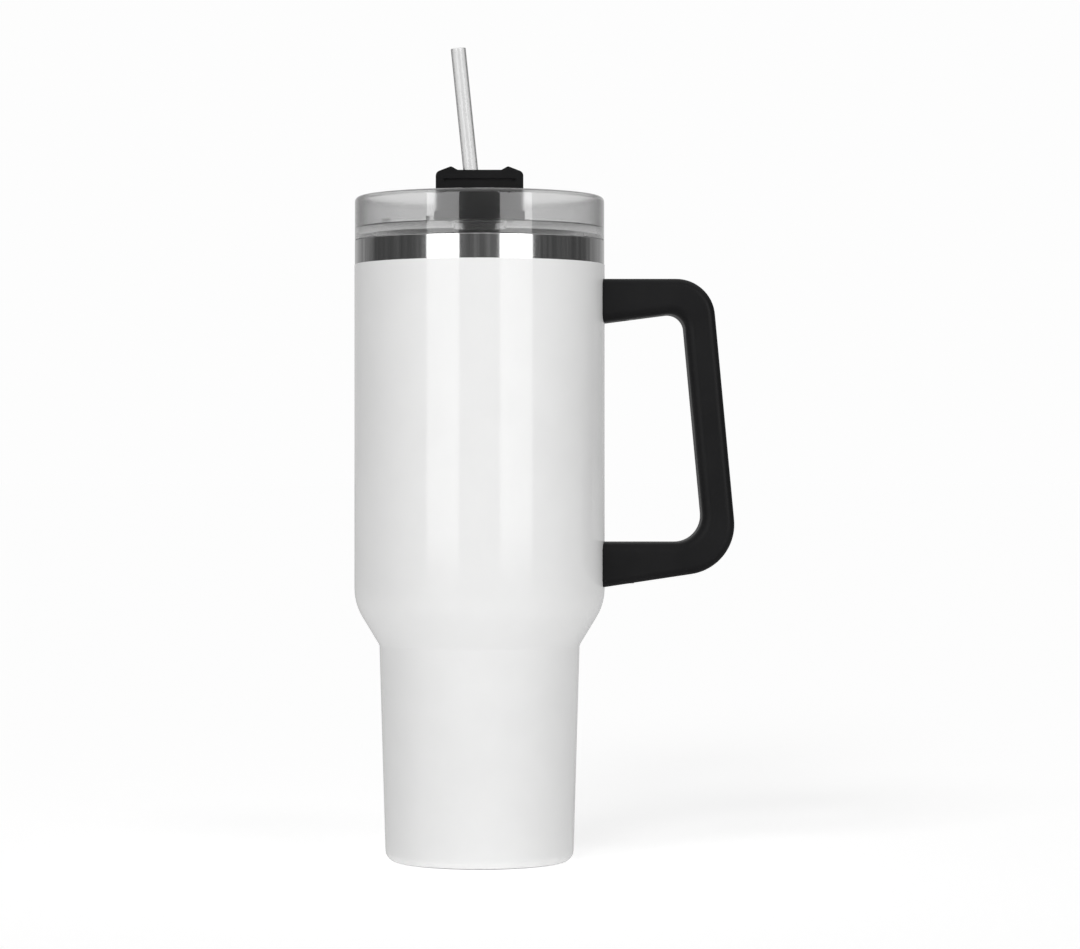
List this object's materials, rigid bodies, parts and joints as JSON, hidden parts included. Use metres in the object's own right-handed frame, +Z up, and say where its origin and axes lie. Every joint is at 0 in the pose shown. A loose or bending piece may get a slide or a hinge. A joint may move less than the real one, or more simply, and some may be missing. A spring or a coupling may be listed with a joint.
{
  "type": "insulated tumbler with lid",
  "caption": "Tall double-walled tumbler with a narrower foot, D-shaped side handle, clear lid with a turning cover, and a leaning straw.",
  "frame": {"origin": "on the tumbler's axis at the level of the foot ring that it stands on", "axes": "+Z up along the axis, +X towards the handle, -Y towards the drinking side that faces the viewer"},
  "size_m": [0.1513, 0.1, 0.3249],
  "materials": {
    "steel": "fine brushed stainless",
    "screw_steel": "plain stainless",
    "white_coat": "satin white powder coat",
    "getter_metal": "sintered",
    "port_glass": "melted glass",
    "black_plastic": "fine-textured black",
    "clear_plastic": "clear gloss",
    "straw_plastic": "clear gloss",
    "silicone": "translucent silicone"
  },
  "bodies": {
    "cup": {"outer_shell": "steel", "body_coating": "white_coat", "inner_liner": "steel", "outer_bottom": "steel", "vacuum_port_seal": "port_glass", "getter": "getter_metal", "base_cap": "steel", "handle_bracket_upper": "steel", "handle_bracket_lower": "steel", "handle_frame": "black_plastic", "handle_inner_cover": "black_plastic", "handle_screws": "screw_steel"},
    "lid": {"lid_body": "clear_plastic", "lid_gasket": "silicone"},
    "turning_cover": {"rotating_cover": "black_plastic", "cover_retainer": "black_plastic", "cover_o_ring": "silicone", "sip_seal": "silicone", "vent_seal": "silicone", "straw_grommet": "silicone"},
    "drinking_straw": {"straw": "straw_plastic"}
  },
  "joints": [
    {"name": "lid_lift", "type": "slide", "parent": "cup", "child": "lid", "axis": [0, 0, 1], "range_m": [0, 0.1]},
    {"name": "cover_turn", "type": "hinge", "parent": "lid", "child": "turning_cover", "pos_m": [0, 0, 0.2525], "axis": [0, 0, 1], "range_deg": [0, 90]},
    {"name": "straw_pull", "type": "slide", "parent": "lid", "child": "drinking_straw", "axis": [-0.1021, 0, 0.9948], "range_m": [0, 0.27]}
  ]
}
